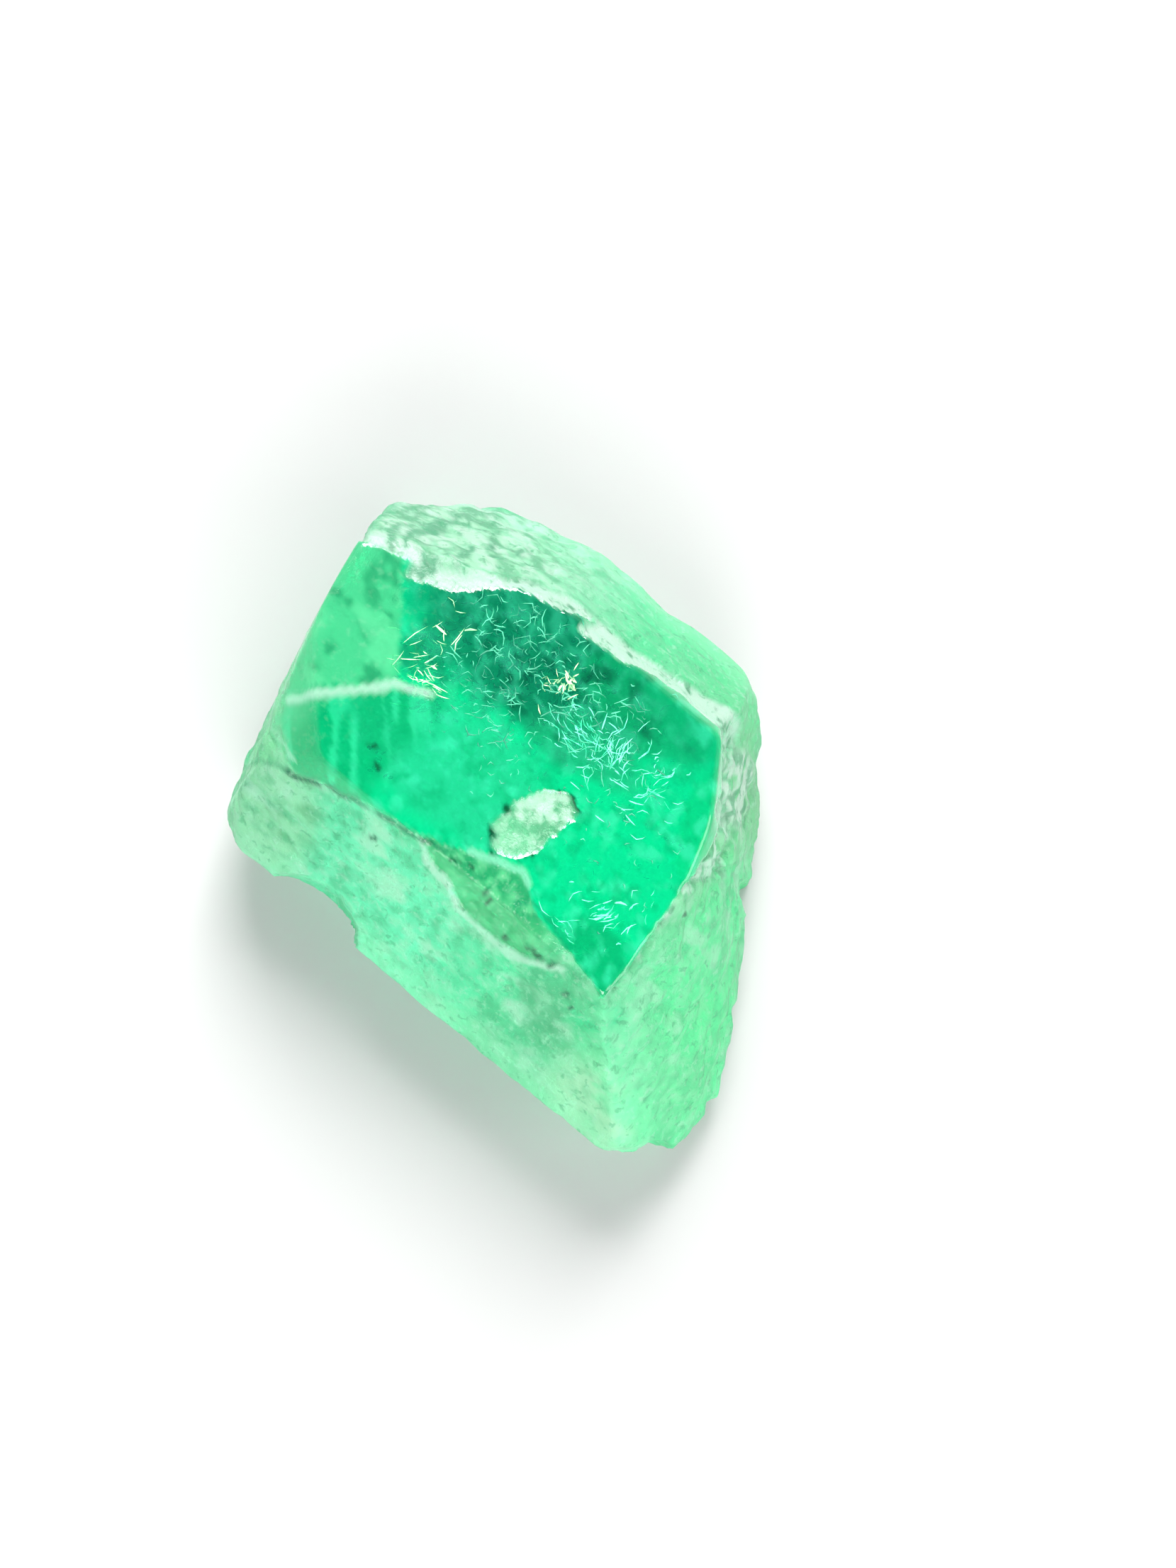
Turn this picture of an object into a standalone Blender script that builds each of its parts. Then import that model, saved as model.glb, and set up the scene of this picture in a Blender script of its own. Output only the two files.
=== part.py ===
"""Emerald crystal: one loose prism of green beryl, with a flat end and a broken end.

The prism's axis runs along X, from the flat end at -X to the broken wedge at +X. Its broad clear
face looks up, and it lies on the matching face behind. The origin lies on that plane, under the middle
of the outline seen from above.
"""

import math

import bmesh
import bpy
from mathutils import Matrix, Vector, noise

MM = 0.001

# The prism seen along its axis is a flattened hexagon that stands on one of its sides
FACE_WIDTH = 5.0 * MM
LEFT_SPAN = 4.41 * MM
RIGHT_SPAN = 4.33 * MM
THICKNESS = 5.4 * MM
PRISM_ANGLE = math.radians(60)

# Along the axis, in mm, from the flat end to the furthest point of the broken end
FLAT_END_X = -5.05
TIP_X = 6.58
WEDGE_START_X = 3.60
WEDGE_SLOPE = math.radians(56)

# The edge between the upper face and the facet that slants to the apex, in mm
APEX_EDGE_X = -2.45
APEX_EDGE_Y = 2.285
APEX_EDGE_SLOPE = 0.40
APEX_FACET_END = -1.90
LEDGE_RADIUS = 0.80

# How far the broken surfaces stray from flat, and how wide their lumps are
ROUGH_DEPTH = 0.13 * MM
ROUGH_SIZE = 0.85 * MM
GRAIN_SIZE = 0.34 * MM
GRAIN_SHARE = 0.5
FACET_EDGE = 0.50 * MM
FACE_REACH = 0.01 * MM
MERGE_REACH = 0.01 * MM
SPLIT_ROUNDS = 5
SCOOP_ROUGHNESS = 0.25
FLAT_WITHIN = math.radians(1)

# The middle of the finished outline, which becomes the origin
MIDDLE_X = 0.734 * MM
MIDDLE_Y = -0.04 * MM

# The block that is cleaved, and how near to a plane a point counts as on it, in metres
BLOCK_SIZE = 16 * MM
PLANE_REACH = 1e-7

half_face = FACE_WIDTH / 2
flank_slope = 1 / math.tan(PRISM_ANGLE)


def prism_normal(steps):
    """The outward normal of a prism face, that many sixths of a turn from the upper face."""
    angle = steps * PRISM_ANGLE
    return Vector((0, math.sin(angle), math.cos(angle)))


def crystal_faces():
    """Each flat face as its name, a point on it in mm, its outward normal and whether it is a break."""
    top = THICKNESS / MM
    left_edge = (0, -LEFT_SPAN / MM, (THICKNESS - (LEFT_SPAN - half_face) / flank_slope) / MM)
    right_edge = (0, RIGHT_SPAN / MM, (THICKNESS - (RIGHT_SPAN - half_face) / flank_slope) / MM)
    wedge_normal = (math.sin(WEDGE_SLOPE), 0.02, math.cos(WEDGE_SLOPE))
    return [
        ("upper face", (0, 0, top), prism_normal(0), False),
        ("back face", (0, 0, 0), prism_normal(3), False),
        ("right flank", (0, half_face / MM, top), prism_normal(1), False),
        ("left flank", (0, -half_face / MM, top), prism_normal(-1), False),
        ("right back flank", right_edge, prism_normal(2), False),
        ("left back flank", left_edge, prism_normal(-2), False),
        ("flat end", (FLAT_END_X, 0.3, 0), (-0.997, -0.078, 0), False),
        ("flat end, turned part", (-4.89, -0.12, 0), (-0.98, -0.20, 0), False),
        ("lobe side", (-4.14, -3.05, 2.2), (-0.94, -0.33, 0.05), True),
        ("lobe corner", (-3.70, -4.04, 2.2), (-0.68, -0.735, 0.05), True),
        ("lobe crown", (-3.90, -3.30, 4.0), (-0.55, -0.55, 0.63), True),
        ("lobe foot", (-3.70, -3.60, 0.9), (-0.60, -0.50, -0.62), True),
        ("left bevel", (-4.9, -0.4, 5.4), (-0.60, -0.457, 0.657), True),
        ("apex facet", (-2.45, 2.285, 5.4), (-0.33, 0.822, 0.44), True),
        ("apex corner", (-4.36, 3.11, 2.43), (-0.69, 0.73, 0.05), True),
        ("wedge break", (WEDGE_START_X, -0.4, top), wedge_normal, True),
        ("upper break", (2.66, 1.9, 5.4), (0.793, 0.532, 0.285), True),
        ("middle break", (3.36, 0.4, 5.4), (0.846, 0.261, 0.443), True),
        ("lower break", (5.25, 0.3, 1.0), (0.854, 0.519, 0.02), True),
        ("right corner", (2.93, 3.55, 2.2), (0.756, 0.654, 0.05), True),
        ("right shoulder", (2.2, 4.2, 2.2), (0.45, 0.89, 0.05), True),
        ("tip", (TIP_X, -2.4, 0.9), (1, 0.02, 0.12), True),
        ("tip corner", (6.45, -3.45, 1.0), (0.72, -0.69, 0.1), True),
        ("tip undercut", (TIP_X, -2.4, 0.45), (0.6, 0, -0.8), True),
    ]


def ledge_scoops():
    """The row of shell-shaped breaks that make a stepped ledge of the edge of the right flank.

    Each is a place along the edge, half its length and how deep it bites into the edge.
    """
    breaks = [
        (-4.75, 0.95, 0.19),
        (-3.80, 0.85, 0.13),
        (-2.95, 0.80, 0.21),
        (-2.05, 0.90, 0.14),
        (-1.15, 0.95, 0.20),
        (-0.25, 0.85, 0.15),
        (0.55, 0.90, 0.21),
        (1.35, 0.80, 0.15),
        (2.25, 1.00, 0.24),
    ]
    scoops = []
    for x, half_length, depth in breaks:
        on_apex_facet = x < APEX_FACET_END
        edge_y = APEX_EDGE_Y + (x - APEX_EDGE_X) * APEX_EDGE_SLOPE if on_apex_facet else half_face / MM
        yaw = math.atan(APEX_EDGE_SLOPE) if on_apex_facet else 0
        lift = LEDGE_RADIUS - depth
        centre = Vector((x, edge_y + lift * math.sin(PRISM_ANGLE / 2), THICKNESS / MM))
        centre.z += lift * math.cos(PRISM_ANGLE / 2)
        scoops.append((centre, Vector((half_length, LEDGE_RADIUS, LEDGE_RADIUS)), yaw))
    return scoops


def scoops():
    """Every other hollow as the middle and radii of the ball that scoops it, in mm, and its turn."""
    balls = [
        # The shallow chip in the upper face
        ((0.60, -1.02, 5.72), (0.62, 0.98, 0.46), -20),
        # The step in the skin near the apex
        ((-3.95, 4.18, 3.2), (0.22, 0.42, 2.2), 40),
        # Bites out of the ragged edge of the broken end
        ((4.86, 1.36, 1.8), (0.55, 0.42, 3.6), 28),
        ((6.10, -0.36, 1.0), (0.50, 0.36, 2.8), 44),
        ((6.88, -2.15, 0.9), (0.40, 0.32, 1.8), 0),
        ((6.48, -3.66, 1.2), (0.50, 0.34, 2.2), 20),
        # The hollow beside the lobe
        ((-1.45, -4.85, 2.0), (1.15, 1.00, 2.6), 8),
        # Shell-shaped scars on the back flanks and on the flat end
        ((-1.60, 4.30, 1.10), (1.20, 0.50, 0.80), -8),
        ((2.60, -4.35, 1.00), (0.90, 0.42, 0.70), 12),
        ((-5.25, 0.80, 1.30), (0.34, 0.90, 0.80), 0),
    ]
    return [(Vector(middle), Vector(radii), math.radians(turn)) for middle, radii, turn in balls]


def purge_scene():
    """Remove whatever objects the file opened with."""
    for old in list(bpy.data.objects):
        bpy.data.objects.remove(old, do_unlink=True)


def cut_flat(shape, point, normal):
    """Cleave everything outside the plane away and close the wound with one face."""
    geometry = shape.verts[:] + shape.edges[:] + shape.faces[:]
    cleaved = bmesh.ops.bisect_plane(
        shape, geom=geometry, plane_co=point, plane_no=normal, clear_outer=True, dist=PLANE_REACH
    )
    rim = [item for item in cleaved["geom_cut"] if isinstance(item, bmesh.types.BMEdge)]
    if rim:
        bmesh.ops.edgenet_fill(shape, edges=rim)


def cleave_prism():
    """A block of crystal cleaved along each of its flat faces in turn."""
    shape = bmesh.new()
    bmesh.ops.create_cube(shape, size=BLOCK_SIZE)
    for _name, point, normal, _broken in crystal_faces():
        cut_flat(shape, Vector(point) * MM, Vector(normal).normalized())
    bmesh.ops.recalc_face_normals(shape, faces=shape.faces[:])
    mesh = bpy.data.meshes.new("emerald_crystal")
    shape.to_mesh(mesh)
    shape.free()
    return bpy.data.objects.new("emerald_crystal", mesh)


def scoop_ball(name, centre, radii, turn):
    """A ball stretched along the axes, turned about Z, with its centre and radii in mm."""
    shape = bmesh.new()
    bmesh.ops.create_icosphere(shape, subdivisions=3, radius=1)
    stretch = Matrix.Diagonal([*(radii * MM), 1])
    shape.transform(Matrix.Translation(centre * MM) @ Matrix.Rotation(turn, 4, "Z") @ stretch)
    mesh = bpy.data.meshes.new(name)
    shape.to_mesh(mesh)
    shape.free()
    return bpy.data.objects.new(name, mesh)


def cut_with(crystal, tool):
    """Cut the crystal with a tool that stays hidden beside it."""
    tool.hide_render = True
    tool.display_type = "WIRE"
    step = crystal.modifiers.new(tool.name, "BOOLEAN")
    step.operation = "DIFFERENCE"
    step.object = tool
    step.solver = "EXACT"


def baked_mesh(crystal):
    """The crystal's mesh with its Booleans worked out."""
    bpy.context.view_layer.update()
    evaluated = crystal.evaluated_get(bpy.context.evaluated_depsgraph_get())
    mesh = bpy.data.meshes.new_from_object(evaluated)
    crystal.modifiers.clear()
    return mesh


def split_long_edges(shape, longest):
    """Halve long edges a few times over, so that the breaks have points to move."""
    bmesh.ops.triangulate(shape, faces=shape.faces[:])
    for _round in range(SPLIT_ROUNDS):
        long_edges = [edge for edge in shape.edges if edge.calc_length() > longest]
        bmesh.ops.subdivide_edges(shape, edges=long_edges, cuts=1)
        bmesh.ops.triangulate(shape, faces=shape.faces[:])


def break_depth(point):
    """How rough the surface is at a point: nothing on the clean faces, full on the breaks and scoops."""
    for _name, on_face, normal, broken in crystal_faces():
        off_face = (point - Vector(on_face) * MM).dot(Vector(normal).normalized())
        if abs(off_face) < FACE_REACH:
            return ROUGH_DEPTH if broken else 0
    return ROUGH_DEPTH * SCOOP_ROUGHNESS


def roughen(shape):
    """Push each point of a break in or out by noise, which leaves the clean faces flat."""
    shape.normal_update()
    shift = Vector((7.1, 3.7, 1.9))
    moves = []
    for vert in shape.verts:
        lump = noise.noise(vert.co / ROUGH_SIZE + shift)
        grain = noise.noise(vert.co / GRAIN_SIZE + shift)
        moves.append((vert, vert.normal * (lump + GRAIN_SHARE * grain) * break_depth(vert.co)))
    for vert, move in moves:
        vert.co += move


def finish_mesh(mesh):
    """Roughen the breaks, thin out what stayed flat, and set the origin under the middle."""
    shape = bmesh.new()
    shape.from_mesh(mesh)
    bmesh.ops.remove_doubles(shape, verts=shape.verts[:], dist=MERGE_REACH)
    split_long_edges(shape, FACET_EDGE)
    roughen(shape)
    bmesh.ops.dissolve_limit(
        shape, angle_limit=FLAT_WITHIN, verts=shape.verts[:], edges=shape.edges[:]
    )
    bmesh.ops.triangulate(shape, faces=shape.faces[:])
    bmesh.ops.translate(shape, verts=shape.verts[:], vec=(-MIDDLE_X, -MIDDLE_Y, 0))
    bmesh.ops.recalc_face_normals(shape, faces=shape.faces[:])
    shape.to_mesh(mesh)
    shape.free()


def emerald_material():
    """Clear green beryl."""
    material = bpy.data.materials.new("emerald")
    material.use_nodes = True
    shader = material.node_tree.nodes["Principled BSDF"]
    shader.inputs["Base Color"].default_value = (0.10, 0.72, 0.36, 1)
    shader.inputs["Roughness"].default_value = 0.15
    shader.inputs["Metallic"].default_value = 0.0
    shader.inputs["IOR"].default_value = 1.577
    return material


def new_collection(name):
    """A collection of the scene's own."""
    collection = bpy.data.collections.new(name)
    bpy.context.scene.collection.children.link(collection)
    return collection


def main():
    purge_scene()
    crystals = new_collection("emerald_crystal")
    tools = new_collection("breaking_tools")
    crystal = cleave_prism()
    crystals.objects.link(crystal)
    for index, (centre, radii, turn) in enumerate(ledge_scoops() + scoops()):
        ball = scoop_ball(f"scoop_{index:02d}", centre, radii, turn)
        tools.objects.link(ball)
        cut_with(crystal, ball)
    crystal.data = baked_mesh(crystal)
    finish_mesh(crystal.data)
    crystal.data.materials.clear()
    crystal.data.materials.append(emerald_material())


main()
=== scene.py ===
import math

import bpy
import numpy as np
from mathutils import Matrix


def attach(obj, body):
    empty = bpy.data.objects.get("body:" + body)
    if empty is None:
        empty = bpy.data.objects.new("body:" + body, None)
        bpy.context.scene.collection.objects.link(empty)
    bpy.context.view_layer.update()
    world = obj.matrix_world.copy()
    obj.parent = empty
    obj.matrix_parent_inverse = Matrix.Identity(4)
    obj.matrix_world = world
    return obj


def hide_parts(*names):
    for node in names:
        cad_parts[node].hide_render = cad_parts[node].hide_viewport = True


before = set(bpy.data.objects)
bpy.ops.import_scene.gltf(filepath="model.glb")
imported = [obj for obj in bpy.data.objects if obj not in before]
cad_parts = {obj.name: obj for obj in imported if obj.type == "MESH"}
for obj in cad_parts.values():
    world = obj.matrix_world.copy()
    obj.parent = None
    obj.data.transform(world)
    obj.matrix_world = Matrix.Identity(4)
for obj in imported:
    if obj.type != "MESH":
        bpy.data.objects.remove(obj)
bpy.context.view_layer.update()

# The crystal body
# One loose prism of green beryl, grown as a single piece and broken out of its rock. A broad clear
# face looks up, frosted flanks fall away either side, one end is flat and the other a broken wedge.
# Sizes are in mm. OUTLINE_MIDDLE is the point that becomes the frame's origin, and HEART is the point
# inside from which the surface is measured.
MM = 0.001
OUTLINE_MIDDLE = np.array((0.734, -0.04, 0.0))
HEART = np.array((0.75, 0.0, 2.55))
HALF_FACE = 2.5
LEFT_SPAN = 4.41
RIGHT_SPAN = 4.33
THICKNESS = 5.4
PRISM_ANGLE = math.radians(60)
FLANK_DROP = math.tan(PRISM_ANGLE)
EDGE_SHARPNESS = 90.0
SKIN_DEPTH = 0.025
RINGS = 222
ROUND = 440
CROWDING = 0.35
SCOOP_REACH = 0.995
FRAME_AXES = np.array((6.1, 4.5, 2.9))


def prism_normal(steps):
    """The outward normal of a prism face, that many sixths of a turn from the upper face."""
    angle = steps * PRISM_ANGLE
    return 0.0, math.sin(angle), math.cos(angle)


def crystal_faces():
    """Each face as name, a point on it, outward normal and finish. A finish is clear, frosted or broken."""
    left_edge = (0, -LEFT_SPAN, THICKNESS - (LEFT_SPAN - HALF_FACE) * FLANK_DROP)
    right_edge = (0, RIGHT_SPAN, THICKNESS - (RIGHT_SPAN - HALF_FACE) * FLANK_DROP)
    return [
        ("upper face", (0, 0, THICKNESS), prism_normal(0), "clear"),
        ("back face", (0, 0, 0), prism_normal(3), "frosted"),
        ("right flank", (0, HALF_FACE, THICKNESS), prism_normal(1), "frosted"),
        ("left flank", (0, -HALF_FACE, THICKNESS), prism_normal(-1), "frosted"),
        ("right back flank", right_edge, prism_normal(2), "frosted"),
        ("left back flank", left_edge, prism_normal(-2), "frosted"),
        ("flat end", (-5.05, 0.3, 0), (-0.997, -0.078, 0), "frosted"),
        ("flat end, turned part", (-4.89, -0.12, 0), (-0.98, -0.20, 0), "frosted"),
        ("lobe side", (-4.14, -3.05, 2.2), (-0.94, -0.33, 0.05), "broken"),
        ("lobe corner", (-3.70, -4.04, 2.2), (-0.68, -0.735, 0.05), "broken"),
        ("lobe crown", (-3.90, -3.30, 4.0), (-0.55, -0.55, 0.63), "broken"),
        ("lobe foot", (-3.70, -3.60, 0.9), (-0.60, -0.50, -0.62), "broken"),
        ("left bevel", (-4.9, -0.4, 5.4), (-0.60, -0.457, 0.657), "frosted"),
        ("apex facet", (-2.45, 2.285, 5.4), (-0.33, 0.822, 0.44), "broken"),
        ("apex corner", (-4.36, 3.11, 2.43), (-0.69, 0.73, 0.05), "broken"),
        ("wedge break", (3.60, -0.4, 5.4), (0.829, 0.02, 0.559), "broken"),
        ("upper break", (2.66, 1.9, 5.4), (0.793, 0.532, 0.285), "broken"),
        ("middle break", (3.36, 0.4, 5.4), (0.846, 0.261, 0.443), "broken"),
        ("lower break", (5.25, 0.3, 1.0), (0.854, 0.519, 0.02), "broken"),
        ("right corner", (2.93, 3.55, 2.2), (0.756, 0.654, 0.05), "broken"),
        ("right shoulder", (2.2, 4.2, 2.2), (0.45, 0.89, 0.05), "broken"),
        ("tip", (6.58, -2.4, 0.9), (1, 0.02, 0.12), "broken"),
        ("tip corner", (6.45, -3.45, 1.0), (0.72, -0.69, 0.1), "broken"),
        ("tip undercut", (6.58, -2.4, 0.45), (0.6, 0, -0.8), "broken"),
    ]


def scoops():
    """Every hollow, as the centre and radii of the ball that scoops it and its turn in degrees."""
    return [
        ((-3.95, 4.18, 3.2), (0.22, 0.42, 2.2), 40),
        ((4.86, 1.36, 1.8), (0.55, 0.42, 3.6), 28),
        ((6.10, -0.36, 1.0), (0.50, 0.36, 2.8), 44),
        ((6.88, -2.15, 0.9), (0.40, 0.32, 1.8), 0),
        ((6.48, -3.66, 1.2), (0.50, 0.34, 2.2), 20),
        ((-1.45, -4.85, 2.0), (1.15, 1.00, 2.6), 8),
        ((-1.60, 4.30, 1.10), (1.20, 0.50, 0.80), -8),
        ((2.60, -4.35, 1.00), (0.90, 0.42, 0.70), 12),
        ((-5.25, 0.80, 1.30), (0.34, 0.90, 0.80), 0),
    ]


def lattice_noise(points, seed):
    """Smooth noise from -1 to 1: seeded values on a cubic lattice, blended by smoothstep between corners."""
    size = 32
    values = np.random.default_rng(seed).random((size, size, size)) * 2 - 1
    low = np.floor(points).astype(int)
    part = points - low
    part = part * part * (3 - 2 * part)
    total = np.zeros(len(points))
    for corner in np.ndindex(2, 2, 2):
        step = np.array(corner)
        share = np.prod(np.where(step, part, 1 - part), axis=1)
        index = (low + step) % size
        total += share * values[index[:, 0], index[:, 1], index[:, 2]]
    return total


def fractal(points, size, octaves, seed):
    """Noise of that lump size with finer and fainter octaves added, each half the size and strength."""
    total = np.zeros(len(points))
    for octave in range(octaves):
        total += lattice_noise(points / size * 2**octave, seed + octave) / 2**octave
    return total


def ridged(points, size, octaves, seed):
    """Noise folded at zero into sharp crests, from 0 in the valleys to about 1 on the crests."""
    total = np.zeros(len(points))
    for octave in range(octaves):
        total += (1 - np.abs(lattice_noise(points / size * 2**octave, seed + octave))) / 2**octave
    return total / (2 - 2.0 ** (1 - octaves))


def ray_directions():
    """Directions from the heart on rings about the prism's axis, closer together on the side that looks up.

    A ring's angle is half way between even angles and even steps along the axis, and the angle round
    it is t + CROWDING cos t.
    """
    step = (np.arange(RINGS) + 0.5) / RINGS
    along = (np.pi * step + np.arccos(1 - 2 * step)) / 2
    about = 2 * np.pi * np.arange(ROUND) / ROUND
    about = about + CROWDING * np.cos(about)
    along, about = np.meshgrid(along, about, indexing="ij")
    ball = np.stack((np.cos(along), np.sin(along) * np.cos(about), np.sin(along) * np.sin(about)), axis=-1)
    poles = np.array(((1.0, 0, 0), (-1.0, 0, 0)))
    rays = np.concatenate((ball.reshape(-1, 3), poles)) * FRAME_AXES
    return rays / np.linalg.norm(rays, axis=1, keepdims=True)


def reach_faces(rays):
    """How far each ray goes to the nearest face, and each face's share of the point where it ends.

    The reach is the p-norm of the faces' own reaches, which rounds the edges a little.
    """
    faces = crystal_faces()
    normals = np.array([face[2] for face in faces], float)
    normals /= np.linalg.norm(normals, axis=1, keepdims=True)
    gaps = np.einsum("ij,ij->i", normals, np.array([face[1] for face in faces]) - HEART)
    pull = np.clip(rays @ normals.T / gaps, 0, None)
    strongest = pull.max(axis=1, keepdims=True)
    weights = (pull / strongest) ** EDGE_SHARPNESS
    total = weights.sum(axis=1, keepdims=True)
    reach = 1 / (strongest * total ** (1 / EDGE_SHARPNESS))[:, 0]
    finishes = np.array([face[3] for face in faces])
    names = [face[0] for face in faces]
    return reach, weights / total, finishes, names


def scoop_out(rays, reach):
    """Shorten each ray to where it first enters a scoop that breaks through the surface."""
    scooped = np.zeros(len(rays))
    for centre, radii, turn in scoops():
        angle = -math.radians(turn)
        spin = np.array(
            ((math.cos(angle), -math.sin(angle), 0), (math.sin(angle), math.cos(angle), 0), (0, 0, 1))
        )
        ray = rays @ spin.T / np.array(radii)
        start = (HEART - np.array(centre)) @ spin.T / np.array(radii)
        a = np.einsum("ij,ij->i", ray, ray)
        b = 2 * ray @ start
        c = start @ start - 1
        root = np.sqrt(np.clip(b * b - 4 * a * c, 0, None))
        entry = (-b - root) / (2 * a)
        leave = (-b + root) / (2 * a)
        cut = (root > 0) & (entry > 0) & (entry < reach) & (leave > reach * SCOOP_REACH)
        reach = np.where(cut, entry, reach)
        scooped = np.where(cut, 1.0, scooped)
    return reach, scooped


def ramp(values, low, high):
    """0 below low and 1 above high, with a smooth rise between."""
    share = np.clip((values - low) / (high - low), 0, 1)
    return share * share * (3 - 2 * share)


def soft_oval(plan, centre, radii, turn=0.0, edge=0.5):
    """1 inside an oval seen from above, 0 outside, with a rim that wide as a share of its radius."""
    angle = math.radians(turn)
    spin = np.array(((math.cos(angle), math.sin(angle)), (-math.sin(angle), math.cos(angle))))
    distance = np.linalg.norm((plan - np.array(centre)) @ spin.T / np.array(radii), axis=1)
    return 1 - ramp(distance, 1 - edge / 2, 1 + edge / 2)


def patches(spots, size, octaves, seed, low, high):
    """Patches of noise with lumps of that size, 0 where the noise is below low and 1 above high."""
    return ramp(fractal(spots, size, octaves, seed), low, high)


def veins(spots, size, octaves, seed, low, high):
    """Lines along the crests of folded noise, 0 where it is below low and 1 above high."""
    return ramp(ridged(spots, size, octaves, seed), low, high)


def wobble(spots, size, octaves, seed):
    """Two fields of noise side by side, to shift a plan by."""
    return np.stack((fractal(spots, size, octaves, seed), fractal(spots, size, octaves, seed + 10)), axis=-1)


def near_path(plan, path, width, edge=0.6):
    """1 along a path of straight runs seen from above, fading out at half that width."""
    closest = np.full(len(plan), np.inf)
    for start, end in zip(path[:-1], path[1:]):
        run = np.array(end) - np.array(start)
        share = np.clip((plan - np.array(start)) @ run / (run @ run), 0, 1)
        closest = np.minimum(closest, np.linalg.norm(plan - np.array(start) - share[:, None] * run, axis=1))
    half = width / 2
    return 1 - ramp(closest, half * (1 - edge), half * (1 + edge))


def depth_inside(plan, corners):
    """How far each point is inside an outline of straight sides that turns clockwise, in mm."""
    depth = np.full(len(plan), np.inf)
    for start, end in zip(corners, corners[1:] + corners[:1]):
        run = np.array(end) - np.array(start)
        inward = np.array((run[1], -run[0])) / np.linalg.norm(run)
        depth = np.minimum(depth, (plan - np.array(start)) @ inward)
    return depth


def paint(coat, share, colour):
    """Lay a colour over the coat, as thick as that share."""
    return coat + share[:, None] * (np.array(colour) - coat)


def paint_ovals(coat, plan, ovals):
    """Lay soft ovals over the coat in turn, each a place, radii, turn, rim, share and colour."""
    for place, radii, turn, edge, share, colour in ovals:
        coat = paint(coat, share * soft_oval(plan, place, radii, turn, edge), colour)
    return coat


def plain_coat(spots, colour):
    """One colour on every point."""
    return np.tile(colour, (len(spots), 1))


def band_colours(x, stops):
    """The colour at each x, blended between stops of x and colour."""
    places = [stop[0] for stop in stops]
    colours = np.array([stop[1] for stop in stops])
    return np.stack([np.interp(x, places, colours[:, channel]) for channel in range(3)], axis=-1)


# The outline of the clear upper face: its ledge side, its lower side and its broken end
LEDGE_SIDE = np.array((
    (-5.2, 0.95), (-4.68, 1.18), (-4.12, 1.38), (-4.10, 1.03), (-3.29, 1.34), (-2.93, 1.70), (-2.31, 2.25),
    (-1.65, 2.37), (-1.02, 2.64), (-1.00, 2.36), (-0.23, 2.37), (0.63, 2.65), (1.22, 2.72), (2.19, 2.66),
))
LEDGE_OUTSIDE = np.array((
    (-5.0, 1.39), (-4.32, 1.60), (-3.85, 1.52), (-3.33, 1.70), (-2.41, 2.46), (-1.59, 2.80), (-0.85, 2.82),
    (0.08, 2.93), (1.00, 3.05), (1.96, 3.30), (2.60, 3.42),
))
LOWER_SIDE = np.array((
    (-4.6, -2.35), (-3.9, -2.75), (-3.23, -2.93), (-2.50, -2.75), (-1.87, -2.60), (-0.73, -2.40),
    (0.53, -1.94), (1.03, -1.76), (1.81, -2.18), (2.56, -2.30), (3.60, -2.56),
))
BROKEN_SIDE = np.array((
    (-2.60, 3.70), (-1.57, 3.66), (-0.33, 3.53), (0.67, 3.47), (1.34, 3.30), (1.42, 3.06), (1.85, 2.92),
    (2.41, 2.41), (2.70, 2.15),
))
OLIVE_SIDE = np.array((
    (-0.75, -2.42), (-0.37, -2.66), (0.19, -2.72), (0.55, -2.91), (1.20, -2.93), (2.03, -2.88), (2.80, -2.60),
))
RIDGE = ((-4.16, -2.0), (-3.60, -1.45), (-2.88, -0.62), (-2.30, -0.33))
CHIP_OUTLINE = (
    (0.06, -1.46), (0.18, -0.82), (0.46, -0.34), (0.81, -0.17), (1.17, -0.30), (1.10, -0.80), (1.02, -1.25),
    (0.86, -1.60), (0.42, -1.80),
)
LEDGE_BREAK = ((-1.10, 2.30), (-0.86, 2.90))

# How far noise shifts those outlines, how crisp they are, how high they lie and how wide the rim is
EDGE_WANDER = 0.030
CHIP_WANDER = 0.070
CRISP = (-0.02, 0.02)
SOFT = (-0.02, 0.03)
UPPER_HEIGHTS = (3.2, 3.6)
CLEAR_HEIGHTS = (4.1, 4.9)
HEIGHT_WANDER = 0.25
RIM_WIDTH = 0.11
RIM_WIDTH_ABOVE = 0.62


def gaps_to_outline(plan):
    """How far each point lies from the clear face's ledge side, lower side and broken side, in mm."""
    x, y = plan.T
    below_ledge = np.interp(x, *LEDGE_SIDE.T) - y
    above_lower = y - np.interp(x, *LOWER_SIDE.T)
    before_break = np.interp(y, *BROKEN_SIDE.T) - x
    return below_ledge, above_lower, before_break


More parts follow.
